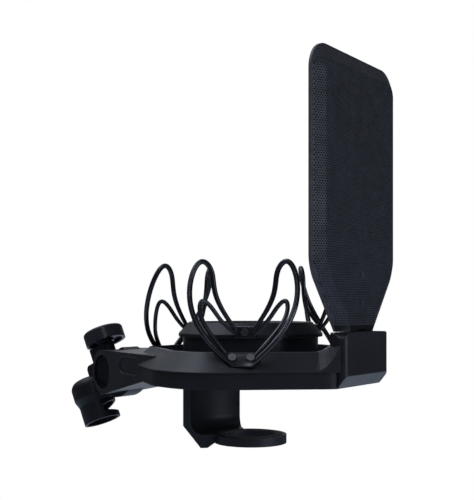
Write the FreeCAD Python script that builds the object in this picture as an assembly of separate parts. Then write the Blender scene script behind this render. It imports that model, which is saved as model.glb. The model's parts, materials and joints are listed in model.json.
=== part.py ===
import FreeCAD, Part
import math
import os

# Suspension shock mount for a large-diaphragm studio microphone, with a perforated metal pop shield.
#
# The stand adapter screws onto a microphone stand. A clamp knob locks the tilt of the outer frame on it.
# Three double-loop springs, the lyres, carry the inner cradle inside the frame, and the microphone's base
# is fastened through the cradle's base ring. The pop shield plugs into a socket block at the front.
#
# Frame: millimetres, +Z up along the microphone's axis, -Y towards the pop shield, +Y towards the stand.
# The origin is the centre of the hole in the cradle's base ring.

Vec = FreeCAD.Vector
UP = Vec(0, 0, 1)

# ---- Clearances ----
FIT = 0.05            # radial clearance of a turning or sliding round fit
GAP = 0.3             # clearance between pieces that move past each other
SEAT_GAP = 0.15       # the lyre's foot to its pad on the cradle
REACH = 5.0           # how far a cutter runs past what it cuts

# ---- Cradle: base ring, curved back wall, cup and collar ----
MIC_HOLE_R = 12.3
BASE_RING_R = 17.3
BASE_T = 4.1
WASHER_R = 15.4
WASHER_T = 0.8
WASHER_PROUD = 0.3
WALL_OUT_R = 32.4
WALL_T = 3.4
WALL_HALF_DEG = 45.0
HEEL_DROP = 2.3       # below the base ring's underside
HEEL_R = 24.2
HEEL_W = 3.4
HEEL_CHAMFER_Z = 6.2
FOOT_FILLET = 6.0
CUP_LOW_Z = 33.0
COLLAR_LOW_Z = 49.0
COLLAR_BEVEL_Z = 50.5
COLLAR_TOP_Z = 55.8
COLLAR_OUT_R = 34.5
COLLAR_TOP_R = 29.6
COLLAR_BORE_R = 27.5
COLLAR_SPIGOT_T = 1.4
COLLAR_SPIGOT_H = 4.0
COLLAR_LIP = 1.0

# ---- Outer frame ----
FRAME_LOW_Z = 28.0
FRAME_SPLIT_Z = 35.2
FRAME_TOP_Z = 43.5
FRAME_BEVEL = 9.0     # plan width of the sloping outer face
FRAME_RIM = 11.0      # plan width of the whole ring
BAND_INSET = 1.2      # the lower cover stands this far inside the upper shell's edge
COVER_WALL = 2.0
SIDE_X = 63.0         # corner of the side and the rear quarter, before rounding
SIDE_Y = -10.8
FRONT_X = 20.4        # corner of the front face and the side, before rounding
FRONT_Y = -61.0
QUARTER_X = 55.0
QUARTER_Y = 16.0
REAR_X = 22.0
REAR_Y = 58.0
FRONT_CORNER_R = 15.0
SIDE_CORNER_R = 30.0
QUARTER_CORNER_R = 26.0
REAR_CORNER_R = 16.0
SCREW_R = 1.4
SCREW_HEAD_R = 2.4
SCREW_HEAD_T = 1.6
SCREW_L = 10.0
BOSS_R = 3.1
SCREW_ANGLES = (36.0, 79.0, 104.0)

# ---- Socket block of the pop shield ----
BLOCK_FACE_Y = -62.6
BLOCK_BACK_Y = -48.0
BLOCK_TOP_BACK_Y = -53.5  # above the ring the block ends here
BLOCK_HALF_W = 20.4
BLOCK_BACK_HALF_W = 15.0
BLOCK_TOP_Z = 52.0
BLOCK_FACE_LOW_Z = 33.5
BLOCK_CHAMFER_Y = 4.3
BLOCK_CORNER_R = 2.4
SHOULDER_SETBACK = 2.2
RAMP_FLAT = 0.5
RAMP_L = 13.0         # the shoulder's sweep along the ring's outer edge
RAMP_RIM_L = 9.0      # and along its rim
RAMP_Z = 46.5         # its height at the outer edge where it leaves the block
RAMP_RIM_Z = 49.1     # and at the rim
RAMP_POWER = 2.6      # how quickly its outer edge falls
RAMP_SHARES = (0.0, 0.15, 0.3, 0.45, 0.65, 0.85, 1.0)
RAMP_SINK = 0.05      # its low end lies this far inside the sloping face
BLOCK_TOP_R = 3.6     # rounding of the block's upper corners
SLOT_HALF_W = 16.2
SLOT_T = 3.2
SLOT_Y = -57.6
SLOT_FLOOR_Z = 38.0

# ---- Stand arm at the rear ----
PIVOT_Y = 83.0
PIVOT_Z = 29.0
BARREL_R = 11.5
ARM_ROOT_X = 40.0
ARM_ROOT_Y = 29.0
MOUTH_X = 15.6        # half the arm's width on the pivot's axis
MOUTH_BORE_R = 9.25
CHEEK_INNER_X = 6.5
CHEEK_WEB = 2.6
EYE_SLOT_R = 14.5
ARM_RAMP_Y = 35.0
BADGE_L = 23.0
BADGE_H = 8.4
BADGE_DEPTH = 0.7
BADGE_ALONG = 25.0    # along the arm's side, from its root to the middle of the bare badge

# ---- Tilt pivot ----
PIN_R = 5.0
PIN_HEAD_R = 7.4
PIN_HEAD_T = 1.5

# ---- Stand adapter, on a frame tilted back about the pivot ----
TILT_DEG = 24.0
EYE_R = 13.9
EYE_TOP = 9.4         # the eye's flat top
LINK_BACK = 18.0
LINK_DROP = 8.0
LINK_ROUND = 2.5
SOCKET_BACK = 24.0    # pivot axis to the stand thread's axis
SOCKET_R = 11.4
SOCKET_TOP = 4.5
SOCKET_CROWN = 5.0
SOCKET_WAIST = -6.0   # the housing tapers below here
SKIRT_R = 9.9
SKIRT_TOP = -10.0
SKIRT_LOW = -20.0
SKIRT_BORE_R = 8.4
THROAT_TURN = 35.0    # the open throat above the skirt's foot ring faces forwards and to the right
THROAT_REACH = 3.6    # its back stays this far from the thread's axis
THROAT_BACK_TOP = -13.2
THROAT_BACK_LOW = -15.7
THROAT_TOP = -10.9    # at the skirt's outside
THROAT_LOW = -17.3
BUSH_TOP = -0.4
BUSH_LOW = -8.4
BUSH_R = 8.8
THREAD_R = 7.5
KNOB_BACK = 4.4       # pivot axis to the knob's axis
EAR_HALF_W = 3.8
EAR_BACK = 14.4
EAR_TOP = 17.4
KNOB_R = 10.8
KNOB_LOW = 17.9
KNOB_H = 7.4
KNOB_CROWN = 1.5
KNOB_RECESS_R = 9.0
KNOB_RECESS_H = 1.6
KNOB_HUB_R = 4.4
STUD_R = 2.4
STUD_TOP = 22.0
PAD_T = 1.8

# ---- Lyre springs ----
LYRE_ANGLES = (-60.0, 60.0, 180.0)   # about +Z from the front
CLIP_AT_R = 51.0         # radius of the outer clip plate from the microphone's axis
CLIP_T = 2.4
CLIP_HALF_W = 8.0
CLIP_LOW_Z = 36.6
CLIP_TOP_Z = 42.6
CLIP_TILT_DEG = 33.0   # the clip leans to lie along the ring's sloping face
CLIP_TILT_Z = 41.0
CLIP_CORNER = 3.6      # its lower corners are cut off by this much
FOOT_AT_R = 35.2
LYRE_HALF_W = 24.0     # widest control point of the long loops
LYRE_RISE = 50.0      # their highest control point, above the clip's low edge
FOOT_T = 1.8
FOOT_HALF_W = 4.6
FOOT_LOW_Z = 49.2
FOOT_TOP_Z = 54.4
STRAND_R = 1.2
INNER_STRAND_R = 1.0
# Control points of the loops, as shares of LYRE_HALF_W, of the way in from clip to foot, and of LYRE_RISE.
OUTER_LOOP = [
    (0.50, -0.06, 0.18),
    (0.76, 0.04, 0.32),
    (0.98, 0.33, 0.54),
    (0.99, 0.62, 0.79),
    (0.80, 0.85, 0.98),
    (0.56, 0.90, 0.85),
    (0.59, 0.90, 0.64),
    (0.36, 0.94, 0.45),
]
INNER_LOOP = [
    (0.42, 0.00, 0.21),
    (0.65, 0.26, 0.33),
    (0.82, 0.52, 0.48),
    (0.79, 0.66, 0.62),
    (0.57, 0.80, 0.52),
    (0.40, 0.90, 0.37),
]
POCKET_HALF_W = 12.4
POCKET_DEPTH = 12.0
LYRE_SCREW_X = 3.9
LYRE_SCREW_R = 1.0
LYRE_SCREW_HEAD_R = 1.7
LYRE_SCREW_HEAD_T = 0.9
LYRE_SCREW_L = 3.2
FOOT_SCREW_L = 3.5
FOOT_SCREW_Z = 51.8

# ---- Pop shield ----
SHIELD_Y = -59.7
SHIELD_DISH = 3.5
SHIELD_SHEET = 0.9
SHIELD_HALF_W = 38.8
SHIELD_FLANGE_W = 6.8
SHIELD_TOP_Z = 174.0
SHIELD_TAPER_Z = 79.0
SHIELD_LOW_Z = 52.3
SHIELD_LOW_HALF_W = 17.6
SHIELD_TOP_R = 12.5
SHIELD_TAPER_R = 18.0
SHIELD_RIM_W = 1.5
SHIELD_RIM_T = 1.2
FOOT_PLATE_T = 1.4
FOOT_PLATE_HALF_W = 15.2
FOOT_PLATE_TOP_Z = 51.4
FOOT_NECK_HALF_W = 7.2
FOOT_NECK_TOP_Z = 60.0
FOOT_PLATE_LOW_Z = 39.0
TONGUE_HALF_W = 2.6
TONGUE_TOP_Z = 80.0
RIVET_R = 0.9
RIVET_HEAD_R = 1.5
RIVET_HEAD_T = 0.3
RIVET_ZS = (65.0, 77.5)
SPRING_T = 0.5
SPRING_HALF_W = 7.0


# ---- Shape helpers ----
def polygon_face(points):
    """A flat face on straight edges."""
    return Part.Face(Part.makePolygon(list(points) + [points[0]]))


def rounded_wire(corners, closed=True):
    """A wire of straight runs with a tangent arc at each corner; corners are (point, radius) pairs."""
    count = len(corners)
    starts = []
    ends = []
    mids = []
    for i, (corner, radius) in enumerate(corners):
        if radius <= 0 or (not closed and i in (0, count - 1)):
            starts.append(corner)
            ends.append(corner)
            mids.append(None)
            continue
        back = (corners[i - 1][0] - corner).normalize()
        ahead = (corners[(i + 1) % count][0] - corner).normalize()
        half = back.getAngle(ahead) / 2
        reach = radius / math.tan(half)
        middle = (back + ahead).normalize()
        starts.append(corner + back * reach)
        ends.append(corner + ahead * reach)
        mids.append(corner + middle * (radius / math.sin(half) - radius))
    edges = []
    for i in range(count):
        if mids[i] is not None:
            edges.append(Part.Arc(starts[i], mids[i], ends[i]).toShape())
        if i == count - 1 and not closed:
            break
        following = starts[(i + 1) % count]
        if (following - ends[i]).Length > 1e-6:
            edges.append(Part.LineSegment(ends[i], following).toShape())
    return Part.Wire(edges)


def disc(radius, z0, z1, x=0.0, y=0.0):
    """An upright cylinder between two heights."""
    return Part.makeCylinder(radius, z1 - z0, Vec(x, y, z0))


def ring(outer, inner, z0, z1):
    """An upright ring about the Z axis."""
    return disc(outer, z0, z1).cut(disc(inner, z0 - 1, z1 + 1))


def box(x0, x1, y0, y1, z0, z1):
    """A box between two corners."""
    return Part.makeBox(x1 - x0, y1 - y0, z1 - z0, Vec(x0, y0, z0))


def revolved(profile, half_deg=180.0):
    """A (radius, z) outline turned about Z, centred on +Y."""
    face = polygon_face([Vec(r, 0, z) for r, z in profile])
    return revolved_face(face, half_deg)


def revolved_face(face, half_deg):
    """A face in the XZ plane turned about Z, centred on +Y."""
    solid = face.revolve(Vec(0, 0, 0), UP, 2 * half_deg)
    solid.rotate(Vec(0, 0, 0), UP, 90 - half_deg)
    return solid


def turned_to(shape, degrees):
    """A shape drawn towards the front, -Y, turned about Z to its own direction."""
    copy = shape.copy()
    copy.rotate(Vec(0, 0, 0), UP, degrees)
    return copy


def fused(shapes):
    """One solid from several overlapping ones."""
    whole = shapes[0].multiFuse(shapes[1:]) if len(shapes) > 1 else shapes[0]
    whole = whole.removeSplitter()
    if len(whole.Solids) != 1:
        raise ValueError(f"expected one solid, got {len(whole.Solids)}")
    return whole.Solids[0]


def single(shape):
    """The one solid of a cut shape."""
    if len(shape.Solids) != 1:
        raise ValueError(f"expected one solid, got {len(shape.Solids)}")
    return shape.Solids[0]


# ---- Cradle ----
def cradle_body():
    """Cup, curved back wall, heel and base ring, moulded in one piece."""
    half = BASE_T / 2
    wall_in = WALL_OUT_R - WALL_T
    low = -half - HEEL_DROP
    arc_mid = wall_in - FOOT_FILLET * (1 - math.cos(math.radians(45)))
    arc_mid_z = half + FOOT_FILLET * (1 - math.sin(math.radians(45)))
    corners = [
        Vec(wall_in, 0, CUP_LOW_Z + 2),
        Vec(WALL_OUT_R, 0, CUP_LOW_Z + 2),
        Vec(WALL_OUT_R, 0, HEEL_CHAMFER_Z),
        Vec(HEEL_R, 0, low),
        Vec(HEEL_R - HEEL_W, 0, low),
        Vec(HEEL_R - 2 * HEEL_W, 0, -half),
        Vec(MIC_HOLE_R, 0, -half),
        Vec(MIC_HOLE_R, 0, half),
        Vec(wall_in - FOOT_FILLET, 0, half),
    ]
    edges = [Part.LineSegment(a, b).toShape() for a, b in zip(corners, corners[1:])]
    foot_top = Vec(wall_in, 0, half + FOOT_FILLET)
    edges.append(Part.Arc(corners[-1], Vec(arc_mid, 0, arc_mid_z), foot_top).toShape())
    edges.append(Part.LineSegment(foot_top, corners[0]).toShape())
    wall = revolved_face(Part.Face(Part.Wire(edges)), WALL_HALF_DEG)
    cup = ring(WALL_OUT_R, wall_in, CUP_LOW_Z, COLLAR_LOW_Z)
    seat = disc(BASE_RING_R, -half, half)
    whole = fused([wall, cup, seat])
    whole = whole.cut(disc(MIC_HOLE_R, low - 1, half + 1))
    whole = whole.cut(disc(WASHER_R, half - WASHER_T + WASHER_PROUD, half + FOOT_FILLET))
    return single(whole)


def base_washer():
    """Rubber washer let into the base ring under the microphone."""
    top = BASE_T / 2 + WASHER_PROUD
    return ring(WASHER_R, MIC_HOLE_R, top - WASHER_T, top)


def foot_pad_cut(angle):
    """Flat on the collar for one lyre's foot."""
    inner = FOOT_AT_R - FOOT_T / 2 - SEAT_GAP
    half = FOOT_HALF_W + GAP
    cut = box(-half, half, -COLLAR_OUT_R - REACH, -inner, COLLAR_LOW_Z - 1, COLLAR_TOP_Z + 1)
    return turned_to(cut, angle)


def cradle_collar():
    """Bevelled top ring with a spigot down into the cup."""
    spigot_out = WALL_OUT_R - WALL_T - FIT
    spigot_in = spigot_out - COLLAR_SPIGOT_T
    profile = [
        (COLLAR_BORE_R, COLLAR_TOP_Z - COLLAR_LIP),
        (COLLAR_BORE_R + COLLAR_LIP, COLLAR_TOP_Z),
        (COLLAR_TOP_R, COLLAR_TOP_Z),
        (COLLAR_OUT_R, COLLAR_BEVEL_Z),
        (COLLAR_OUT_R, COLLAR_LOW_Z),
        (spigot_out, COLLAR_LOW_Z),
        (spigot_out, COLLAR_LOW_Z - COLLAR_SPIGOT_H),
        (spigot_in, COLLAR_LOW_Z - COLLAR_SPIGOT_H),
        (COLLAR_BORE_R, COLLAR_LOW_Z),
    ]
    collar = revolved(profile)
    for angle in LYRE_ANGLES:
        collar = collar.cut(foot_pad_cut(angle))
        collar = collar.cut(turned_to(foot_screw_bore(LYRE_SCREW_R), angle))
    return single(collar)


# ---- Outer frame ----
def frame_outline(z, inset):
    """The ring's plan, moved in by inset, at a height."""
    right = [
        (FRONT_X, FRONT_Y, FRONT_CORNER_R),
        (SIDE_X, SIDE_Y, SIDE_CORNER_R),
        (QUARTER_X, QUARTER_Y, QUARTER_CORNER_R),
        (REAR_X, REAR_Y, REAR_CORNER_R),
    ]
    corners = [(Vec(x, y, z), r) for x, y, r in right]
    corners += [(Vec(-x, y, z), r) for x, y, r in reversed(right)]
    wire = rounded_wire(corners)
    if inset == 0:
        return wire
    return Part.Face(wire).makeOffset2D(-inset).OuterWire


def frame_prism(inset, z0, z1):
    """The ring's plan, moved in by inset, between two heights."""
    return Part.Face(frame_outline(z0, inset)).extrude(Vec(0, 0, z1 - z0))


def arm_profile():
    """The arm from the side: a flat top, the barrel's round end and a ramp below."""
    pivot = Vec(0, PIVOT_Y, PIVOT_Z)
    ramp = Vec(0, ARM_RAMP_Y, FRAME_LOW_Z)
    to_ramp = ramp - pivot
    lean = math.atan2(to_ramp.z, to_ramp.y) + math.acos(BARREL_R / to_ramp.Length)
    tangent = pivot + Vec(0, math.cos(lean), math.sin(lean)) * BARREL_R
    top = Vec(0, PIVOT_Y, PIVOT_Z + BARREL_R)
    back = Vec(0, PIVOT_Y + BARREL_R, PIVOT_Z)
    front_y = REAR_Y - 3 * FRAME_RIM
    edges = [
        Part.Arc(tangent, back, top).toShape(),
        Part.LineSegment(top, Vec(0, front_y, top.z)).toShape(),
        Part.LineSegment(Vec(0, front_y, top.z), Vec(0, front_y, FRAME_LOW_Z)).toShape(),
        Part.LineSegment(Vec(0, front_y, FRAME_LOW_Z), ramp).toShape(),
        Part.LineSegment(ramp, tangent).toShape(),
    ]
    return Part.Face(Part.Wire(edges))


def arm_side_direction():
    """Along the arm's side, from its root to the pivot's axis."""
    return Vec(MOUTH_X - ARM_ROOT_X, PIVOT_Y - ARM_ROOT_Y, 0).normalize()


def arm_blank():
    """The tapering arm with its barrel, before the bores."""
    reach = ARM_ROOT_X + REACH
    slab = arm_profile().extrude(Vec(2 * reach, 0, 0))
    slab.translate(Vec(-reach, 0, 0))
    along = arm_side_direction()
    root = Vec(ARM_ROOT_X, ARM_ROOT_Y, 0)
    far = root + along * ((PIVOT_Y + BARREL_R + 2 - ARM_ROOT_Y) / along.y)
    near = root - along * REACH
    plan = polygon_face([
        Vec(near.x, near.y, 0),
        Vec(far.x, far.y, 0),
        Vec(-far.x, far.y, 0),
        Vec(-near.x, near.y, 0),
    ])
    return slab.common(plan.extrude(Vec(0, 0, BLOCK_TOP_Z)))


def badge_cuts():
    """A shallow bare panel on each side of the arm."""
    along = arm_side_direction()
    outward = Vec(along.y, -along.x, 0)
    centre = Vec(ARM_ROOT_X, ARM_ROOT_Y, 0) + along * BADGE_ALONG
    centre.z = (FRAME_LOW_Z + PIVOT_Z + BARREL_R) / 2
    start = centre + outward
    half_run = (BADGE_L - BADGE_H) / 2
    corners = []
    for sx, sz in ((-1, -1), (1, -1), (1, 1), (-1, 1)):
        corner = start + along * (sx * BADGE_L / 2) + UP * (sz * BADGE_H / 2)
        corners.append((corner, min(BADGE_H / 2 - 0.2, half_run)))
    pocket = Part.Face(rounded_wire(corners)).extrude(outward * -(1 + BADGE_DEPTH))
    return [pocket, pocket.mirror(Vec(0, 0, 0), Vec(1, 0, 0))]


def pivot_cuts():
    """The eye's slot, the pin's bore and the two mouths of the barrel."""
    span = 2 * ARM_ROOT_X
    cuts = [
        box(-CHEEK_INNER_X, CHEEK_INNER_X, PIVOT_Y, PIVOT_Y + span, 0, BLOCK_TOP_Z),
        Part.makeCylinder(PIN_R, span, Vec(-span / 2, PIVOT_Y, PIVOT_Z), Vec(1, 0, 0)),
    ]
    slot_round = Part.makeCylinder(
        EYE_SLOT_R, 2 * CHEEK_INNER_X, Vec(-CHEEK_INNER_X, PIVOT_Y, PIVOT_Z), Vec(1, 0, 0)
    )
    cuts.append(slot_round)
    for side in (-1, 1):
        start = Vec(side * (CHEEK_INNER_X + CHEEK_WEB), PIVOT_Y, PIVOT_Z)
        cuts.append(Part.makeCylinder(MOUTH_BORE_R, span / 2, start, Vec(side, 0, 0)))
    return cuts


def clip_pocket(angle):
    """V-shaped recess in the sloping face for one lyre's outer clip."""
    back = -CLIP_AT_R + CLIP_T / 2
    low_half = CLIP_HALF_W - CLIP_CORNER + 2 * GAP
    top = CLIP_TOP_Z + 2 * REACH
    outline = [
        (-low_half, CLIP_LOW_Z - GAP),
        (low_half, CLIP_LOW_Z - GAP),
        (POCKET_HALF_W, CLIP_TOP_Z + STRAND_R),
        (POCKET_HALF_W, top),
        (-POCKET_HALF_W, top),
        (-POCKET_HALF_W, CLIP_TOP_Z + STRAND_R),
    ]
    face = polygon_face([Vec(a, back, z) for a, z in outline])
    return turned_to(clip_tilted(face.extrude(Vec(0, -POCKET_DEPTH, 0))), angle)


def clip_tilted(shape):
    """A shape drawn with the upright clip, leaned back to the sloping face."""
    copy = shape.copy()
    copy.rotate(Vec(0, -CLIP_AT_R, CLIP_TILT_Z), Vec(1, 0, 0), -CLIP_TILT_DEG)
    return copy


def clip_point(a, z):
    """Control point (a, n, z) in the leaning clip's middle plane."""
    lean = math.radians(CLIP_TILT_DEG)
    drop = CLIP_TILT_Z - z
    return (a, CLIP_AT_R + drop * math.sin(lean), CLIP_TILT_Z - drop * math.cos(lean))


def side_direction():
    """Along the ring's right side, from the front face to the rear."""
    return Vec(SIDE_X - FRONT_X, SIDE_Y - FRONT_Y, 0).normalize()


def shoulder_foot():
    """Where the right shoulder of the socket block starts, behind the face."""
    return Vec(BLOCK_HALF_W, BLOCK_FACE_Y + SHOULDER_SETBACK, 0)


def socket_block():
    """The raised block at the front that takes the pop shield, with its chamfer below."""
    shoulder = shoulder_foot() + side_direction() * RAMP_FLAT
    right = [
        (BLOCK_HALF_W, BLOCK_FACE_Y, BLOCK_CORNER_R),
        (shoulder.x, shoulder.y, 0),
        (BLOCK_BACK_HALF_W, BLOCK_BACK_Y, 0),
    ]
    plan = [(Vec(x, y, FRAME_LOW_Z), r) for x, y, r in right]
    plan += [(Vec(-x, y, FRAME_LOW_Z), r) for x, y, r in reversed(right)]
    block = Part.Face(rounded_wire(plan)).extrude(Vec(0, 0, BLOCK_TOP_Z - FRAME_LOW_Z))
    slope = BLOCK_CHAMFER_Y / (BLOCK_FACE_LOW_Z - FRAME_LOW_Z)
    chamfer = polygon_face([
        Vec(-SIDE_X, BLOCK_FACE_Y - slope, FRAME_LOW_Z - 1),
        Vec(-SIDE_X, BLOCK_FACE_Y - slope, BLOCK_FACE_LOW_Z + 1),
        Vec(-SIDE_X, BLOCK_FACE_Y + BLOCK_CHAMFER_Y + slope, FRAME_LOW_Z - 1),
    ])
    block = block.cut(chamfer.extrude(Vec(2 * SIDE_X, 0, 0)))
    behind = box(-SIDE_X, SIDE_X, BLOCK_TOP_BACK_Y, BLOCK_BACK_Y + 1, FRAME_TOP_Z, BLOCK_TOP_Z + 1)
    block = block.cut(behind)
    low = FRAME_LOW_Z - BLOCK_TOP_R - 1
    face = [(BLOCK_HALF_W, low, 0), (BLOCK_HALF_W, BLOCK_TOP_Z, BLOCK_TOP_R)]
    corners = [(Vec(x, BLOCK_FACE_Y - 1, z), r) for x, z, r in face]
    corners += [(Vec(-x, BLOCK_FACE_Y - 1, z), r) for x, z, r in reversed(face)]
    return block.common(Part.Face(rounded_wire(corners)).extrude(Vec(0, BLOCK_BACK_Y - BLOCK_FACE_Y + 2, 0)))


def block_ramp():
    """Shoulder that sweeps up from the right side's sloping face to the block's side."""
    side = side_direction()
    inward = Vec(-side.y, side.x, 0)
    start = shoulder_foot() + side * RAMP_FLAT
    low = FRAME_SPLIT_Z + RAMP_SINK
    rim = FRAME_TOP_Z - RAMP_SINK
    sections = []
    for share in RAMP_SHARES:
        outer = (1 - share) ** RAMP_POWER
        inner = max(0, 1 - share * RAMP_L / RAMP_RIM_L) ** 2
        outer_z = low + (RAMP_Z - low) * outer
        inner_z = rim + (RAMP_RIM_Z - rim) * inner
        inset = FRAME_BEVEL + (BLOCK_TOP_R - FRAME_BEVEL) * inner
        section = [
            (0, FRAME_SPLIT_Z),
            (0, outer_z),
            (inset, inner_z),
            (FRAME_RIM + GAP, inner_z),
            (FRAME_RIM + GAP, FRAME_SPLIT_Z),
        ]
        place = start + side * (RAMP_L * share)
        points = [place + inward * u + UP * z for u, z in section]
        sections.append(Part.makePolygon(points + [points[0]]))
    return Part.makeLoft(sections, True, True)


def shield_slot():
    """The slot in the block's top for the shield's foot, with room for its spring."""
    return box(
        -SLOT_HALF_W, SLOT_HALF_W, SLOT_Y - SLOT_T / 2, SLOT_Y + SLOT_T / 2, SLOT_FLOOR_Z, BLOCK_TOP_Z + 1
    )


def screw_places():
    """Plan positions of the cover's screws, in the middle of the ring."""
    mid = frame_outline(0, FRAME_RIM / 2 + BAND_INSET / 2)
    places = []
    for angle in SCREW_ANGLES:
        for side in (-1, 1):
            turn = math.radians(angle * side)
            far = Vec(math.sin(turn), -math.cos(turn), 0) * (3 * SIDE_X)
            line = Part.LineSegment(Vec(0, 0, 0), far).toShape()
            places.append(mid.distToShape(line)[1][0][0])
    return places


def frame_upper():
    """The casting: bevelled ring, socket block, stand arm and barrel."""
    low = frame_outline(FRAME_SPLIT_Z, 0)
    high = frame_outline(FRAME_TOP_Z, FRAME_BEVEL)
    bevel = Part.makeLoft([low, high], True, True)
    ramp = block_ramp()
    parts = [bevel, arm_blank(), socket_block(), ramp, ramp.mirror(Vec(0, 0, 0), Vec(1, 0, 0))]
    whole = parts[0].multiFuse(parts[1:])
    whole = whole.cut(frame_prism(FRAME_RIM, 0, BLOCK_TOP_Z + 1))
    whole = whole.cut(shield_slot())
    for cut in pivot_cuts() + badge_cuts():
        whole = whole.cut(cut)
    for angle in LYRE_ANGLES:
        whole = whole.cut(clip_pocket(angle))
        whole = whole.cut(lyre_screw_holes(angle))
    for place in screw_places():
        whole = whole.cut(disc(SCREW_R, FRAME_LOW_Z, FRAME_LOW_Z + SCREW_L, place.x, place.y))
    return single(whole.removeSplitter())


def frame_covers():
    """The lower covers: channels with screw bosses that close the ring from below."""
    cover = frame_prism(BAND_INSET, FRAME_LOW_Z, FRAME_SPLIT_Z)
    cover = cover.cut(frame_prism(FRAME_RIM, FRAME_LOW_Z - 1, FRAME_SPLIT_Z + 1))
    channel = frame_prism(BAND_INSET + COVER_WALL, FRAME_LOW_Z + COVER_WALL, FRAME_SPLIT_Z + 1)
    channel = channel.cut(frame_prism(FRAME_RIM - COVER_WALL, FRAME_LOW_Z, FRAME_SPLIT_Z + 2))
    cover = cover.cut(channel)
    places = screw_places()
    for place in places:
        cover = cover.fuse(disc(BOSS_R, FRAME_LOW_Z + 1, FRAME_SPLIT_Z, place.x, place.y))
    for place in places:
        cover = cover.cut(disc(SCREW_R, FRAME_LOW_Z - 1, FRAME_SPLIT_Z + 1, place.x, place.y))
        cover = cover.cut(
            disc(SCREW_HEAD_R + FIT, FRAME_LOW_Z - 1, FRAME_LOW_Z + SCREW_HEAD_T, place.x, place.y)
        )
    cover = cover.cut(arm_blank())
    return cover.cut(socket_block())


def frame_cover(side):
    """The left (-1) or right (1) cover, between the socket block and the stand arm."""
    pieces = [s for s in frame_covers().Solids if s.CenterOfMass.x * side > 0]
    return max(pieces, key=lambda s: s.Volume)


def cover_screws():
    """Screws from below, through the cover into the casting."""
    screws = []
    for place in screw_places():
        shank = disc(SCREW_R, FRAME_LOW_Z + 0.5, FRAME_LOW_Z + SCREW_L, place.x, place.y)
        head = disc(SCREW_HEAD_R, FRAME_LOW_Z + 0.2, FRAME_LOW_Z + SCREW_HEAD_T, place.x, place.y)
        drive = disc(SCREW_R * 0.7, FRAME_LOW_Z, FRAME_LOW_Z + 1.0, place.x, place.y)
        screws.append(single(shank.fuse(head).cut(drive).removeSplitter()))
    return Part.makeCompound(screws)


def pivot_pin():
    """The pin through both cheeks and the adapter's eye, with a flat head in each mouth."""
    web = CHEEK_INNER_X + CHEEK_WEB
    centre = Vec(-web, PIVOT_Y, PIVOT_Z)
    pin = Part.makeCylinder(PIN_R, 2 * web, centre, Vec(1, 0, 0))
    heads = []
    for side in (-1, 1):
        start = Vec(side * web, PIVOT_Y, PIVOT_Z)
        heads.append(Part.makeCylinder(PIN_HEAD_R, PIN_HEAD_T, start, Vec(side, 0, 0)))
    return fused([pin] + heads)


# ---- Stand adapter ----
def tilted(shape):
    """A shape drawn at the pivot, upright, moved and tilted back with the adapter."""
    copy = shape.copy()
    copy.rotate(Vec(0, 0, 0), Vec(1, 0, 0), -TILT_DEG)
    copy.translate(Vec(0, PIVOT_Y, PIVOT_Z))
    return copy


def swivel_body():
    """Eye on the pivot pin, link, clamp ear and the housing of the stand thread."""
    half = CHEEK_INNER_X - GAP
    eye = Part.makeCylinder(EYE_R, 2 * half, Vec(-half, 0, 0), Vec(1, 0, 0))
    eye = eye.cut(box(-2 * half, 2 * half, -2 * EYE_R, 2 * EYE_R, EYE_TOP, 2 * EYE_R))
    link = box(-half, half, 0, LINK_BACK, -LINK_DROP, EYE_TOP)
    link = link.makeFillet(LINK_ROUND, [e for e in link.Edges if is_top_rear_edge(e)])
    ear = box(-EAR_HALF_W, EAR_HALF_W, KNOB_BACK, EAR_BACK, 0, EAR_TOP)
    ear_front = disc(EAR_HALF_W, 0, EAR_TOP, 0, KNOB_BACK)
    body = eye.multiFuse([link, ear, ear_front, thread_housing()]).removeSplitter()
    body = body.cut(Part.makeCylinder(PIN_R + FIT, 4 * half, Vec(-2 * half, 0, 0), Vec(1, 0, 0)))
    body = body.cut(disc(STUD_R + FIT, 0, EAR_TOP + 1, 0, KNOB_BACK))
    body = body.cut(disc(BUSH_R, BUSH_LOW, BUSH_TOP, 0, SOCKET_BACK))
    body = body.cut(disc(SKIRT_BORE_R, SKIRT_LOW - 1, BUSH_LOW, 0, SOCKET_BACK))
    return tilted(single(body.cut(throat())))


def thread_housing():
    """The turned housing of the stand thread, with a skirt below."""
    outline = [
        (0, SOCKET_TOP),
        (SOCKET_R, SOCKET_TOP),
        (SOCKET_R, SOCKET_WAIST),
        (SKIRT_R, SKIRT_TOP),
        (SKIRT_R, SKIRT_LOW),
        (0, SKIRT_LOW),
    ]
    housing = revolved(outline)
    top_edges = [e for e in housing.Edges if e.Closed and abs(e.BoundBox.ZMin - SOCKET_TOP) < 0.01]
    housing = housing.makeFillet(SOCKET_CROWN, top_edges)
    housing.translate(Vec(0, SOCKET_BACK, 0))
    return housing


def throat():
    """The opening through one side of the skirt, above its foot ring, with a tapered lip below."""
    outside = SKIRT_R + GAP
    back = -THROAT_REACH
    face = polygon_face([
        Vec(-2 * SKIRT_R, back, THROAT_BACK_LOW),
        Vec(-2 * SKIRT_R, back, THROAT_BACK_TOP),
        Vec(-2 * SKIRT_R, -outside, THROAT_TOP),
        Vec(-2 * SKIRT_R, -outside, THROAT_LOW),
    ])
    opening = face.extrude(Vec(4 * SKIRT_R, 0, 0))
    opening.rotate(Vec(0, 0, 0), UP, THROAT_TURN)
    opening.translate(Vec(0, SOCKET_BACK, 0))
    return opening


def is_top_rear_edge(edge):
    """The upper edge at the back of the link."""
    bounds = edge.BoundBox
    return abs(bounds.ZMin - EYE_TOP) < 0.01 and abs(bounds.YMin - LINK_BACK) < 0.01


def thread_bush():
    """Steel bush with the stand thread's bore, pressed into the housing."""
    bush = disc(BUSH_R, BUSH_LOW, BUSH_TOP, 0, SOCKET_BACK)
    return tilted(bush.cut(disc(THREAD_R, BUSH_LOW - 1, BUSH_TOP + 1, 0, SOCKET_BACK)))


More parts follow.
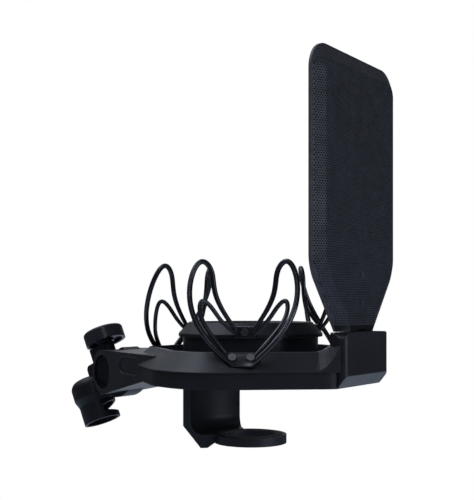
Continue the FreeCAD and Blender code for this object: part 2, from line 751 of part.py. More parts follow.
def brake_pad():
    """Brass pad between the clamp stud and the pivot pin."""
    low = PIN_R + FIT
    return tilted(disc(STUD_R, low, low + PAD_T, 0, KNOB_BACK))


def clamp_knob():
    """Round clamp knob with a crowned top and a hollow underside."""
    top = KNOB_LOW + KNOB_H
    knob = disc(KNOB_R, KNOB_LOW, top)
    knob = knob.makeFillet(KNOB_CROWN, [e for e in knob.Edges if abs(e.BoundBox.ZMin - top) < 0.01])
    knob = knob.cut(ring(KNOB_RECESS_R, KNOB_HUB_R, KNOB_LOW - 1, KNOB_LOW + KNOB_RECESS_H))
    knob = knob.cut(disc(STUD_R, KNOB_LOW - 1, STUD_TOP))
    knob.translate(Vec(0, KNOB_BACK, 0))
    return tilted(single(knob))


def clamp_stud():
    """Steel stud, moulded into the knob, that screws down through the ear onto the brake pad."""
    return tilted(disc(STUD_R, PIN_R + FIT + PAD_T, STUD_TOP, 0, KNOB_BACK))


# ---- Lyre springs ----
def loop_points(shares, start, end):
    """Control points (a, n, z) of a loop from the clip to the foot: across, out from the axis, up."""
    points = [
        (LYRE_HALF_W * a, CLIP_AT_R + (FOOT_AT_R - CLIP_AT_R) * n, CLIP_LOW_Z + LYRE_RISE * z)
        for a, n, z in shares
    ]
    return [start] + points + [end]


def outer_strand():
    """Control points of the long loop."""
    start = clip_point(LYRE_SCREW_X + STRAND_R, CLIP_LOW_Z + 2 * STRAND_R)
    end = (FOOT_HALF_W - STRAND_R, FOOT_AT_R, FOOT_TOP_Z - 2 * STRAND_R)
    return loop_points(OUTER_LOOP, start, end)


def inner_strand():
    """Control points of the short loop."""
    start = clip_point(LYRE_SCREW_X, CLIP_LOW_Z + 3 * INNER_STRAND_R)
    end = (FOOT_HALF_W - INNER_STRAND_R, FOOT_AT_R, FOOT_LOW_Z + 1.5 * INNER_STRAND_R)
    return loop_points(INNER_LOOP, start, end)


def strand(points, radius):
    """A round strand along a smooth curve, drawn towards the front."""
    poles = [Vec(a, -n, z) for a, n, z in points]
    curve = Part.BSplineCurve()
    curve.buildFromPoles(poles, False, 3)
    section = Part.Wire(Part.Circle(poles[0], poles[1] - poles[0], radius).toShape())
    return Part.Wire(curve.toShape()).makePipeShell([section], True, True)


def lyre(angle):
    """One moulded spring: outer clip, two long loops, two short loops and the foot on the cradle."""
    clip = clip_tilted(clip_plate())
    foot = box(
        -FOOT_HALF_W, FOOT_HALF_W, -FOOT_AT_R - FOOT_T / 2, -FOOT_AT_R + FOOT_T / 2, FOOT_LOW_Z, FOOT_TOP_Z
    )
    whole = clip.fuse(foot)
    for points, radius in ((outer_strand(), STRAND_R), (inner_strand(), INNER_STRAND_R)):
        tube = strand(points, radius)
        whole = whole.fuse(tube)
        whole = whole.fuse(tube.mirror(Vec(0, 0, 0), Vec(1, 0, 0)))
    for side in (-1, 1):
        whole = whole.cut(clip_tilted(lyre_screw_hole(side)))
        whole = whole.cut(clip_tilted(lyre_screw_seat(side)))
    whole = whole.cut(foot_screw_bore(LYRE_SCREW_R + SEAT_GAP))
    return turned_to(single(whole.removeSplitter()), angle)


def clip_plate():
    """The lyre's outer clip: a plate with its lower corners cut off."""
    outline = [
        (-CLIP_HALF_W, CLIP_TOP_Z),
        (CLIP_HALF_W, CLIP_TOP_Z),
        (CLIP_HALF_W, CLIP_LOW_Z + CLIP_CORNER),
        (CLIP_HALF_W - CLIP_CORNER, CLIP_LOW_Z),
        (-CLIP_HALF_W + CLIP_CORNER, CLIP_LOW_Z),
        (-CLIP_HALF_W, CLIP_LOW_Z + CLIP_CORNER),
    ]
    face = polygon_face([Vec(a, -CLIP_AT_R - CLIP_T / 2, z) for a, z in outline])
    return face.extrude(Vec(0, CLIP_T, 0))


def foot_screw_bore(radius):
    """A cylinder on the axis of a lyre's foot screw, from outside the foot into the collar."""
    start = Vec(0, -FOOT_AT_R - FOOT_T / 2, FOOT_SCREW_Z)
    return Part.makeCylinder(radius, FOOT_T + SEAT_GAP + FOOT_SCREW_L, start, Vec(0, 1, 0))


def foot_screws():
    """One screw through each lyre's foot into the collar."""
    screws = []
    for angle in LYRE_ANGLES:
        shank = foot_screw_bore(LYRE_SCREW_R)
        start = Vec(0, -FOOT_AT_R - FOOT_T / 2 - SEAT_GAP, FOOT_SCREW_Z)
        head = Part.makeCylinder(LYRE_SCREW_HEAD_R, LYRE_SCREW_HEAD_T, start, Vec(0, -1, 0))
        neck = Part.makeCylinder(LYRE_SCREW_R, SEAT_GAP, start, Vec(0, 1, 0))
        screws.append(turned_to(fused([shank, neck, head]), angle))
    return Part.makeCompound(screws)


def lyre_screw_axis(side):
    """Where a clip's screw stands on the outer face of the clip, drawn towards the front."""
    return Vec(side * LYRE_SCREW_X, -CLIP_AT_R - CLIP_T / 2, CLIP_TOP_Z - 1.9)


def lyre_screw_hole(side):
    """The hole through the clip for one screw."""
    start = lyre_screw_axis(side) - Vec(0, 2, 0)
    return Part.makeCylinder(LYRE_SCREW_R, CLIP_T + 4, start, Vec(0, 1, 0))


def lyre_screw_seat(side):
    """Room for a screw's head, and for the driver that turns it, beside the strands."""
    start = lyre_screw_axis(side)
    return Part.makeCylinder(LYRE_SCREW_HEAD_R + SEAT_GAP, REACH, start, Vec(0, -1, 0))


def lyre_screw_holes(angle):
    """The holes in the casting behind one clip."""
    holes = []
    for side in (-1, 1):
        start = lyre_screw_axis(side)
        holes.append(Part.makeCylinder(LYRE_SCREW_R, CLIP_T + LYRE_SCREW_L, start, Vec(0, 1, 0)))
    return turned_to(clip_tilted(Part.makeCompound(holes)), angle)


def lyre_screws():
    """Two small screws through each lyre's outer clip."""
    screws = []
    for angle in LYRE_ANGLES:
        for side in (-1, 1):
            start = lyre_screw_axis(side)
            shank = Part.makeCylinder(LYRE_SCREW_R, CLIP_T + LYRE_SCREW_L, start, Vec(0, 1, 0))
            head_start = start - Vec(0, LYRE_SCREW_HEAD_T, 0)
            head = Part.makeCylinder(LYRE_SCREW_HEAD_R, LYRE_SCREW_HEAD_T, head_start, Vec(0, 1, 0))
            screws.append(turned_to(clip_tilted(fused([shank, head])), angle))
    return Part.makeCompound(screws)


# ---- Pop shield ----
def shield_wire(inset, y):
    """The shield's outline, moved in by inset, in an upright plane."""
    right = [
        (SHIELD_HALF_W, SHIELD_TOP_Z, SHIELD_TOP_R),
        (SHIELD_HALF_W, SHIELD_TAPER_Z, SHIELD_TAPER_R),
        (SHIELD_LOW_HALF_W, SHIELD_LOW_Z, 0),
    ]
    corners = [(Vec(x, 0, z), r) for x, z, r in right]
    corners += [(Vec(-x, 0, z), r) for x, z, r in reversed(right)]
    corners = inset_corners(corners, inset)
    return rounded_wire([(Vec(p.x, y, p.z), r) for p, r in corners])


def inset_corners(corners, inset):
    """Corners of an upright outline moved in by inset on every side but the bottom."""
    moved = []
    count = len(corners)
    for i, (corner, radius) in enumerate(corners):
        before = (corner - corners[i - 1][0]).normalize()
        after = (corners[(i + 1) % count][0] - corner).normalize()
        if abs(after.z) < 1e-9 and corner.z == SHIELD_LOW_Z:
            moved.append((corner + Vec(-inset / abs(before.z), 0, 0), 0))
        elif abs(before.z) < 1e-9 and corner.z == SHIELD_LOW_Z:
            moved.append((corner + Vec(inset / abs(after.z), 0, 0), 0))
        else:
            normal_a = Vec(before.z, 0, -before.x)
            normal_b = Vec(after.z, 0, -after.x)
            bisector = (normal_a + normal_b) * (inset / (1 + normal_a.dot(normal_b)))
            moved.append((corner + bisector, max(radius - inset, 1.0)))
    return moved


def shield_dish(inset, front_y, back_y):
    """The solid dish between the flange's edge and the flat front."""
    back = shield_wire(inset, back_y)
    front = shield_wire(inset + SHIELD_FLANGE_W, front_y)
    return Part.makeLoft([back, front], True, True)


def shield_mesh():
    """The perforated front sheet with its flange folded back all round."""
    back_y = SHIELD_Y + SHIELD_DISH
    dish = shield_dish(0, SHIELD_Y, back_y)
    hollow = shield_dish(SHIELD_SHEET, SHIELD_Y + SHIELD_SHEET, back_y + SHIELD_SHEET)
    sheet = dish.cut(hollow)
    for x, z in rivet_places():
        sheet = sheet.cut(along_y(RIVET_R, SHIELD_Y - 1, SHIELD_Y + SHIELD_SHEET + 1, x, z))
    return single(sheet)


def shield_rim():
    """The plain stiff border behind the flange's edge."""
    back_y = SHIELD_Y + SHIELD_DISH
    outer = Part.Face(shield_wire(0, back_y)).extrude(Vec(0, SHIELD_RIM_T, 0))
    inner = Part.Face(shield_wire(SHIELD_RIM_W, back_y - 1)).extrude(Vec(0, SHIELD_RIM_T + 2, 0))
    return single(outer.cut(inner))


def rivet_places():
    """Where rivets join the foot to the sheet: (x, z)."""
    return [(0.0, z) for z in RIVET_ZS]


def along_y(radius, y0, y1, x, z):
    """A cylinder along Y between two depths."""
    return Part.makeCylinder(radius, y1 - y0, Vec(x, y0, z), Vec(0, 1, 0))


def shield_foot():
    """The plate that plugs into the socket block, with a tongue up the back of the sheet."""
    y0 = SHIELD_Y + SHIELD_SHEET
    y1 = y0 + FOOT_PLATE_T
    plate = box(-FOOT_PLATE_HALF_W, FOOT_PLATE_HALF_W, y0, y1, FOOT_PLATE_LOW_Z, FOOT_PLATE_TOP_Z)
    neck = box(-FOOT_NECK_HALF_W, FOOT_NECK_HALF_W, y0, y1, FOOT_PLATE_LOW_Z, FOOT_NECK_TOP_Z)
    tongue = box(-TONGUE_HALF_W, TONGUE_HALF_W, y0, y1, FOOT_PLATE_LOW_Z, TONGUE_TOP_Z)
    foot = fused([plate, neck, tongue])
    for x, z in rivet_places():
        foot = foot.cut(along_y(RIVET_R, y0 - 1, y1 + 1, x, z))
    return single(foot)


def shield_rivets():
    """Rivets through the sheet and the foot, with a low head on each side."""
    y0 = SHIELD_Y
    y1 = SHIELD_Y + SHIELD_SHEET + FOOT_PLATE_T
    rivets = []
    for x, z in rivet_places():
        shank = along_y(RIVET_R, y0, y1, x, z)
        front = along_y(RIVET_HEAD_R, y0 - RIVET_HEAD_T, y0, x, z)
        back = along_y(RIVET_HEAD_R, y1, y1 + RIVET_HEAD_T, x, z)
        rivets.append(fused([shank, front, back]))
    return Part.makeCompound(rivets)


def socket_spring():
    """Leaf spring on the back wall of the slot, that grips the shield's foot."""
    wall_y = SLOT_Y + SLOT_T / 2
    bow = SLOT_T - (SHIELD_Y + SHIELD_SHEET + FOOT_PLATE_T - SLOT_Y + SLOT_T / 2) - GAP
    low = SLOT_FLOOR_Z
    high = BLOCK_TOP_Z - 2 * SPRING_T
    mid = (low + high) / 2
    outer = Part.Arc(Vec(0, wall_y, low), Vec(0, wall_y - bow, mid), Vec(0, wall_y, high)).toShape()
    inner = Part.Arc(
        Vec(0, wall_y, low + SPRING_T), Vec(0, wall_y - bow + SPRING_T, mid), Vec(0, wall_y, high - SPRING_T)
    ).toShape()
    ends = [
        Part.LineSegment(Vec(0, wall_y, low), Vec(0, wall_y, low + SPRING_T)).toShape(),
        Part.LineSegment(Vec(0, wall_y, high), Vec(0, wall_y, high - SPRING_T)).toShape(),
    ]
    wire = Part.Wire(Part.__sortEdges__([outer, inner] + ends))
    spring = Part.Face(wire).extrude(Vec(2 * SPRING_HALF_W, 0, 0))
    spring.translate(Vec(-SPRING_HALF_W, 0, 0))
    return spring


NODES = {
    "cradle_body": cradle_body,
    "base_washer": base_washer,
    "cradle_collar": cradle_collar,
    "frame_upper": frame_upper,
    "cover_left": lambda: frame_cover(-1),
    "cover_right": lambda: frame_cover(1),
    "cover_screws": cover_screws,
    "pivot_pin": pivot_pin,
    "swivel_body": swivel_body,
    "thread_bush": thread_bush,
    "brake_pad": brake_pad,
    "clamp_knob": clamp_knob,
    "clamp_stud": clamp_stud,
    "lyre_right": lambda: lyre(LYRE_ANGLES[1]),
    "lyre_left": lambda: lyre(LYRE_ANGLES[0]),
    "lyre_rear": lambda: lyre(LYRE_ANGLES[2]),
    "lyre_screws": lyre_screws,
    "foot_screws": foot_screws,
    "shield_mesh": shield_mesh,
    "shield_rim": shield_rim,
    "shield_foot": shield_foot,
    "shield_rivets": shield_rivets,
    "socket_spring": socket_spring,
}


def main():
    os.makedirs("parts", exist_ok=True)
    for name, make in NODES.items():
        shape = make()
        shape.exportStep(f"parts/{name}.step")
        print(name, len(shape.Solids), round(shape.Volume, 1), shape.isValid())


main()
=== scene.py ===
import json
import math

import bmesh
import bpy
import numpy as np
from mathutils import Matrix, Vector


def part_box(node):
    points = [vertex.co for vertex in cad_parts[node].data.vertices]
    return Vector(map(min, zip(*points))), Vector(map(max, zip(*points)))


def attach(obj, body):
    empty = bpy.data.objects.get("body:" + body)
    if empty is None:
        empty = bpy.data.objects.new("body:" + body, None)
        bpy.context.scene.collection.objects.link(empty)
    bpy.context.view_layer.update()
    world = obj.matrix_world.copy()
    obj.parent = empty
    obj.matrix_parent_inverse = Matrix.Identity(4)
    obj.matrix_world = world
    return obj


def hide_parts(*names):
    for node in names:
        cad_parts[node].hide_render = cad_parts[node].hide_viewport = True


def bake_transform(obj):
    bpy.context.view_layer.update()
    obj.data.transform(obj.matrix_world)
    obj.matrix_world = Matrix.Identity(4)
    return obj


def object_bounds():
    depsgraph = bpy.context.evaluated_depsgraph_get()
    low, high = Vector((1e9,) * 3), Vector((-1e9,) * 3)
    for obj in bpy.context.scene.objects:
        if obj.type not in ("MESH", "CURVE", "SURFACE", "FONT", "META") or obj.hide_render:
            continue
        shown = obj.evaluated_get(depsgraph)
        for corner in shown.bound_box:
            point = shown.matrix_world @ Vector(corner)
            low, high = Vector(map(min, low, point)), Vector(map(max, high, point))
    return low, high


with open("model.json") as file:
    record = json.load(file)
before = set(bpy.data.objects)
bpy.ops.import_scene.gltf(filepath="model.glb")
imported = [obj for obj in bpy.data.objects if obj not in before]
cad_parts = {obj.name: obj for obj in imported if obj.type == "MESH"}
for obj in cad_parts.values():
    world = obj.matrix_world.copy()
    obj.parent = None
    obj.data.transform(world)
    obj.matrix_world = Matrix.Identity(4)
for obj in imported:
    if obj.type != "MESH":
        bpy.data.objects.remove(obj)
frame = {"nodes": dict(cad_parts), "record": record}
CAD_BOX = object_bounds()
MM = 0.001

# The part's frame: metres, +Z up along the microphone's axis, -Y to the pop shield, +Y to the stand.
SHIELD_LOW, SHIELD_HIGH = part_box("shield_mesh")


# ---- Node helpers ----
# The Mix node's sockets are found by number, since those of its data types share their names.
MIX_FACTOR, MIX_FLOAT_A, MIX_FLOAT_B, MIX_FLOAT_OUT = 0, 2, 3, 0
MIX_COLOUR_A, MIX_COLOUR_B, MIX_COLOUR_OUT = 6, 7, 2


class Nodes:
    """A short way to build one material's node tree."""

    BEVEL_SAMPLES = 6

    def __init__(self, name):
        self.material = bpy.data.materials.new(name)
        self.material.use_nodes = True
        self.tree = self.material.node_tree
        self.shader = self.tree.nodes["Principled BSDF"]

    def add(self, kind, **values):
        """A new node, with its properties or, where it has none of that name, its inputs set."""
        node = self.tree.nodes.new(kind)
        for key, value in values.items():
            if hasattr(node, key):
                setattr(node, key, value)
            else:
                node.inputs[key.replace("_", " ").title()].default_value = value
        return node

    def link(self, source, target):
        self.tree.links.new(source, target)

    def noise(self, scale, detail=3.0, roughness=0.6):
        """Noise fixed to the piece, scale in cells per metre."""
        coords = self.add("ShaderNodeTexCoord")
        node = self.add("ShaderNodeTexNoise", scale=scale, detail=detail, roughness=roughness)
        self.link(coords.outputs["Object"], node.inputs["Vector"])
        return node.outputs["Fac"]

    def ramp(self, source, stops):
        """Colour by (place, colour) stops."""
        node = self.add("ShaderNodeValToRGB")
        ramp = node.color_ramp
        while len(ramp.elements) < len(stops):
            ramp.elements.new(0.5)
        for element, (place, colour) in zip(ramp.elements, stops):
            element.position = place
            element.color = (*colour, 1.0)
        self.link(source, node.inputs["Fac"])
        return node.outputs["Color"]

    def remap(self, source, low, high, to_low, to_high):
        node = self.add("ShaderNodeMapRange")
        node.inputs["From Min"].default_value = low
        node.inputs["From Max"].default_value = high
        node.inputs["To Min"].default_value = to_low
        node.inputs["To Max"].default_value = to_high
        self.link(source, node.inputs["Value"])
        return node.outputs["Result"]

    def mix(self, factor, a, b):
        """Colour a where the factor is 0, b where it is 1; each is a tuple or a node's output."""
        node = self.add("ShaderNodeMix", data_type="RGBA")
        self.link(factor, node.inputs["Factor"])
        for value, socket in ((a, node.inputs[MIX_COLOUR_A]), (b, node.inputs[MIX_COLOUR_B])):
            if isinstance(value, tuple):
                socket.default_value = (*value, 1.0)
            else:
                self.link(value, socket)
        return node.outputs[MIX_COLOUR_OUT]

    def round_edges(self, radius):
        node = self.add("ShaderNodeBevel", samples=self.BEVEL_SAMPLES)
        node.inputs["Radius"].default_value = radius
        return node.outputs["Normal"]

    def edge_mask(self, radius):
        """1 along convex and concave edges, 0 on flat faces."""
        bevel = self.round_edges(radius)
        geometry = self.add("ShaderNodeNewGeometry")
        dot = self.add("ShaderNodeVectorMath", operation="DOT_PRODUCT")
        self.link(bevel, dot.inputs[0])
        self.link(geometry.outputs["Normal"], dot.inputs[1])
        return self.remap(dot.outputs["Value"], 0.99, 0.90, 0.0, 1.0)

    def bump(self, height, strength, distance, normal=None):
        node = self.add("ShaderNodeBump")
        node.inputs["Strength"].default_value = strength
        node.inputs["Distance"].default_value = distance
        self.link(height, node.inputs["Height"])
        if normal is not None:
            self.link(normal, node.inputs["Normal"])
        self.link(node.outputs["Normal"], self.shader.inputs["Normal"])


COOL = (0.74, 0.82, 1.0, 1.0)  # the slightly blue sheen of black plastic and coat
SOFT_GLOSS = 0.25  # specular level of everything but the springs
GRAIN_SCALE = 2600.0
WEAR_REACH = 0.45 * MM


def moulded(name, colour, roughness, grain, edge, wear, gloss=SOFT_GLOSS):
    """Moulded plastic: fine spark-eroded grain, uneven tone and roughness, paler worn edges.

    An edge radius of 0 is for round strands, whose shading needs no rounding.
    """
    m = Nodes(name)
    m.shader.inputs["Specular IOR Level"].default_value = gloss
    m.shader.inputs["Specular Tint"].default_value = COOL
    dark = tuple(c * 0.86 for c in colour)
    light = tuple(c * 1.12 for c in colour)
    tone = m.ramp(m.noise(70.0, 2.0), [(0.35, dark), (0.65, light)])
    worn = tuple(min(1.0, c * (1 + wear)) for c in colour)
    m.link(m.mix(m.edge_mask(WEAR_REACH), tone, worn), m.shader.inputs["Base Color"])
    smudge = m.noise(28.0, 3.0)
    uneven = m.remap(smudge, 0.35, 0.65, roughness - 0.05, roughness + 0.06)
    m.link(uneven, m.shader.inputs["Roughness"])
    rounded = m.round_edges(edge) if edge else None
    m.bump(m.noise(GRAIN_SCALE, 2.0, 0.7), grain, 0.05 * MM, rounded)
    return m.material


def metal(name, colour, roughness, grain=0.1, stretch=1.0):
    """Turned or rolled metal with fine tool marks, closer along Z where stretch is above 1."""
    m = Nodes(name)
    m.shader.inputs["Metallic"].default_value = 1.0
    coords = m.add("ShaderNodeTexCoord")
    mapping = m.add("ShaderNodeMapping")
    mapping.inputs["Scale"].default_value = (1.0, 1.0, stretch)
    m.link(coords.outputs["Object"], mapping.inputs["Vector"])
    marks = m.add("ShaderNodeTexNoise", scale=900.0, detail=3.0, roughness=0.6)
    m.link(mapping.outputs["Vector"], marks.inputs["Vector"])
    fac = marks.outputs["Fac"]
    dark = tuple(c * 0.8 for c in colour)
    m.link(m.ramp(fac, [(0.3, dark), (0.7, colour)]), m.shader.inputs["Base Color"])
    m.link(m.remap(fac, 0.3, 0.7, roughness - 0.06, roughness + 0.08), m.shader.inputs["Roughness"])
    m.bump(fac, grain, 0.03 * MM, m.round_edges(0.12 * MM))
    return m.material


FOOT_BAND, FOOT_FADE, PAINTED_FOOT_SHADE = 2.6 * MM, 0.4 * MM, 0.12  # painted shade: the dark strip at the shield's foot, where the sheet goes into its slot


def coated(name, colour, roughness, foot=None):
    """Powder coat on sheet metal: orange-peel surface, soft sheen, with painted shade below the height
    foot.
    """
    m = Nodes(name)
    m.shader.inputs["Specular IOR Level"].default_value = SOFT_GLOSS
    m.shader.inputs["Specular Tint"].default_value = COOL
    dark = tuple(c * 0.85 for c in colour)
    light = tuple(c * 1.15 for c in colour)
    paint = m.ramp(m.noise(240.0, 3.0), [(0.35, dark), (0.65, light)])
    if foot is not None:
        place = m.add("ShaderNodeSeparateXYZ")
        m.link(m.add("ShaderNodeTexCoord").outputs["Object"], place.inputs["Vector"])
        # painted shade: the coat is darkened below the height foot
        foot_shade_mask = m.remap(place.outputs["Z"], foot, foot + FOOT_FADE, 1.0, 0.0)
        paint = m.mix(foot_shade_mask, paint, tuple(c * PAINTED_FOOT_SHADE for c in colour))
    m.link(paint, m.shader.inputs["Base Color"])
    uneven = m.remap(m.noise(90.0), 0.35, 0.65, roughness - 0.05, roughness + 0.06)
    m.link(uneven, m.shader.inputs["Roughness"])
    m.bump(m.noise(1800.0, 2.0), 0.18, 0.04 * MM, m.round_edges(0.15 * MM))
    return m.material


def rubber(name, colour):
    """Soft washer rubber: dull, with a fine bloom."""
    m = Nodes(name)
    m.shader.inputs["Specular IOR Level"].default_value = SOFT_GLOSS
    bloom = tuple(c * 1.6 + 0.004 for c in colour)
    tone = m.ramp(m.noise(160.0, 4.0), [(0.4, colour), (0.75, bloom)])
    m.link(tone, m.shader.inputs["Base Color"])
    m.link(m.remap(m.noise(60.0), 0.3, 0.7, 0.72, 0.86), m.shader.inputs["Roughness"])
    m.bump(m.noise(1500.0), 0.25, 0.05 * MM, m.round_edges(0.2 * MM))
    return m.material


MATERIALS = {
    "frame_plastic": moulded("frame_plastic", (0.0085, 0.0092, 0.0120), 0.38, 0.30, 0.55 * MM, 0.6),
    "cover_plastic": moulded("cover_plastic", (0.0060, 0.0063, 0.0080), 0.42, 0.35, 0.35 * MM, 0.5),
    "cradle_plastic": moulded("cradle_plastic", (0.0075, 0.0080, 0.0105), 0.40, 0.32, 0.50 * MM, 0.6),
    "adapter_plastic": moulded("adapter_plastic", (0.0038, 0.0040, 0.0055), 0.52, 0.35, 0.35 * MM, 0.4),
    "lyre_plastic": moulded("lyre_plastic", (0.0060, 0.0062, 0.0080), 0.26, 0.01, 0.0, 0.2, 0.50),
    "knob_plastic": moulded("knob_plastic", (0.0150, 0.0150, 0.0195), 0.30, 0.30, 0.35 * MM, 0.4),
    # painted shade: a dark strip FOOT_BAND high along the sheet's foot
    "shield_metal": coated(
        "shield_metal", (0.0165, 0.0178, 0.0245), 0.50, SHIELD_LOW.z + FOOT_BAND
    ),
    # painted highlight: the rim's coat is paler than the sheet's, so that the shield's edge looks lit
    "shield_border": coated("shield_border", (0.036, 0.036, 0.046), 0.40),
    "screw_steel": metal("screw_steel", (0.15, 0.15, 0.16), 0.32),
    "pin_steel": metal("pin_steel", (0.035, 0.035, 0.040), 0.42),
    "bush_steel": metal("bush_steel", (0.58, 0.58, 0.59), 0.30, 0.2, 6.0),
    "spring_steel": metal("spring_steel", (0.50, 0.50, 0.51), 0.28),
    "washer_rubber": rubber("washer_rubber", (0.010, 0.010, 0.011)),
    "pad_brass": metal("pad_brass", (0.70, 0.52, 0.24), 0.34),
}


PAINTED = {"shield_rivets": "shield_metal"}  # set first, then coated together with the sheet


def finish_nodes():
    """Gives every CAD node its material, by the record's slots and the paint over them."""
    slots = {row["node"]: row["material_slot"] for row in frame["record"]["subparts"]}
    for name, node in frame["nodes"].items():
        node.data.materials.clear()
        node.data.materials.append(MATERIALS[PAINTED.get(name, slots[name])])


finish_nodes()


# ---- Pop shield: the perforated sheet ----
SHEET = {
    "front": SHIELD_LOW.y,
    "top": SHIELD_HIGH.z,
    "low": SHIELD_LOW.z,
    "half": SHIELD_HIGH.x,
    "low_half": 17.6 * MM,  # half its width at the foot
    "taper_z": 79.0 * MM,   # where it starts to narrow towards the foot
    "top_r": 12.5 * MM,
    "taper_r": 18.0 * MM,
    "dish": 3.5 * MM,       # how far the flange is folded back
    "fold": 6.8 * MM,       # width of the folded flange
    "fold_soft": 0.06,      # softness of the fold, as a share of its width
    "thick": 0.85 * MM,
    "pitch": 1.2 * MM,
    "row": 0.866,           # distance of two rows of holes, as a share of the pitch
    "hole": 0.36 * MM,      # a hole's radius to its corners
    "plain_edge": 1.25 * MM,
    "plain_top": 7.4 * MM,
    "plain_foot": 3.2 * MM,
    "plain_rivet": 1.8 * MM,
}
LINE_STEP = 0.8 * MM


def rounded_line(corners, step):
    """A polyline through (point, radius) corners, with an arc at each inner corner."""
    points = [np.array(corners[0][0])]
    for (before, _), (corner, radius), (after, _) in zip(corners, corners[1:], corners[2:]):
        corner = np.array(corner)
        back = np.array(before) - corner
        ahead = np.array(after) - corner
        back /= np.linalg.norm(back)
        ahead /= np.linalg.norm(ahead)
        half = math.acos(float(back @ ahead)) / 2
        start = corner + back * radius / math.tan(half)
        bisector = (back + ahead) / np.linalg.norm(back + ahead)
        centre = corner + bisector * radius / math.sin(half)
        span = math.pi - 2 * half
        first = start - centre
        turn = 1 if first[1] * back[0] - first[0] * back[1] > 0 else -1
        count = max(4, int(span * radius / step))
        for i in range(count + 1):
            angle = turn * span * i / count
            c, s = math.cos(angle), math.sin(angle)
            x, z = c * first[0] - s * first[1], s * first[0] + c * first[1]
            points.append(centre + np.array([x, z]))
    points.append(np.array(corners[-1][0]))
    dense = [points[0]]
    for a, b in zip(points, points[1:]):
        count = max(1, int(np.linalg.norm(b - a) / (2 * step)))
        dense += [a + (b - a) * (i + 1) / count for i in range(count)]
    return np.array(dense)


def shield_outline():
    """The shield's edge from the low left corner over the top to the low right one, in (x, z)."""
    half, low_half = SHEET["half"], SHEET["low_half"]
    corners = [
        ((-low_half, SHEET["low"]), 0),
        ((-half, SHEET["taper_z"]), SHEET["taper_r"]),
        ((-half, SHEET["top"]), SHEET["top_r"]),
        ((half, SHEET["top"]), SHEET["top_r"]),
        ((half, SHEET["taper_z"]), SHEET["taper_r"]),
        ((low_half, SHEET["low"]), 0),
    ]
    return rounded_line(corners, LINE_STEP)


def edge_distance(points, line):
    """Each point's distance inwards from the outline's sides and top; negative outside."""
    a, b = line[:-1], line[1:]
    ab = b - a
    length2 = (ab ** 2).sum(axis=1)
    best = np.full(len(points), 1.0)
    sign = np.ones(len(points))
    for i in range(len(ab)):
        ap = points - a[i]
        t = np.clip(ap @ ab[i] / length2[i], 0, 1)
        gap = ap - t[:, None] * ab[i]
        d = np.hypot(gap[:, 0], gap[:, 1])
        closer = d < best
        cross = ab[i][0] * ap[:, 1] - ab[i][1] * ap[:, 0]
        best = np.where(closer, d, best)
        sign = np.where(closer, np.where(cross > 0, -1.0, 1.0), sign)
    return best * sign


def sheet_depth(points, line):
    """How far the sheet lies behind its flat front, up to its folded flange's edge."""
    soft = SHEET["fold_soft"] ** 2
    t = 1 - edge_distance(points, line) / SHEET["fold"]
    fold = 0.5 * (t + np.sqrt(t * t + soft)) - 0.5 * (np.sqrt(1 + soft) - 1)
    return SHEET["dish"] * np.clip(fold, 0, 1)


def sheet_cells(line):
    """Hexagonal cells of the sheet: their centres, and whether each is perforated."""
    pitch = SHEET["pitch"]
    row_step = pitch * SHEET["row"]
    rows = int((SHEET["top"] - SHEET["low"]) / row_step) + 1
    columns = int(SHEET["half"] / pitch) + 1
    first_row = 0.6  # of a row above the sheet's foot
    centres = np.array([
        ((i + 0.5 * (j % 2)) * pitch, SHEET["low"] + (j + first_row) * row_step)
        for j in range(rows)
        for i in range(-columns, columns + 1)
    ])
    distance = edge_distance(centres, line)
    height = centres[:, 1]
    inside = (distance > 0.75 * MM) & (height < SHEET["top"] - 0.7 * MM)
    open_zone = (distance > SHEET["plain_edge"]) & (height < SHEET["top"] - SHEET["plain_top"])
    open_zone &= height > SHEET["low"] + SHEET["plain_foot"]
    return centres[inside], open_zone[inside]


def near_rivet(centres, places, reach):
    """Which cells lie under a rivet's head and stay plain."""
    flags = np.zeros(len(centres), bool)
    for place in places:
        flags |= np.hypot(centres[:, 0] - place[0], centres[:, 1] - place[1]) < reach
    return flags


def perforated_sheet(rivets):
    """The front sheet: a real hole in each hexagonal cell of its open field, folded back at its sides
    and top.
    """
    line = shield_outline()
    centres, is_open = sheet_cells(line)
    is_open &= ~near_rivet(centres, rivets, SHEET["plain_rivet"])
    angles = [math.radians(30 + 60 * k) for k in range(6)]
    ring = np.array([(math.cos(a), math.sin(a)) for a in angles])
    corner_r = SHEET["pitch"] / math.sqrt(3)
    keys = {}
    flat = []

    def shared(x, z):
        """The number of a corner that neighbouring cells share."""
        weld = 0.05 * MM
        key = (round(x / weld), round(z / weld))
        if key not in keys:
            keys[key] = len(flat)
            flat.append((x, z))
        return keys[key]

    cells = []
    for centre, opened in zip(centres, is_open):
        outer = [shared(*(centre + ring[k] * corner_r)) for k in range(6)]
        inner = []
        if opened:
            inner = list(range(len(flat), len(flat) + 6))
            flat += [tuple(centre + ring[k] * SHEET["hole"]) for k in range(6)]
        cells.append((outer, inner))
    flat = np.array(flat)
    depth = SHEET["front"] + sheet_depth(flat, line)
    count = len(flat)
    front = np.column_stack([flat[:, 0], depth, flat[:, 1]])
    back = front + np.array([0, SHEET["thick"], 0])
    faces = []
    for outer, inner in cells:
        if not inner:
            faces.append(outer)
            faces.append([i + count for i in reversed(outer)])
            continue
        for k in range(6):
            a, b = outer[k], outer[(k + 1) % 6]
            c, d = inner[(k + 1) % 6], inner[k]
            faces.append([a, b, c, d])
            faces.append([i + count for i in (d, c, b, a)])
            faces.append([d, c, c + count, d + count])
    sides = {(outer[k], outer[(k + 1) % 6]) for outer, _ in cells for k in range(6)}
    for a, b in sorted(sides):
        if (b, a) not in sides:
            faces.append([b, a, a + count, b + count])
    mesh = bpy.data.meshes.new("shield_sheet")
    mesh.from_pydata(np.vstack([front, back]).tolist(), [], faces)
    mesh.validate()
    piece = bpy.data.objects.new("shield_sheet", mesh)
    bpy.context.scene.collection.objects.link(piece)
    return piece


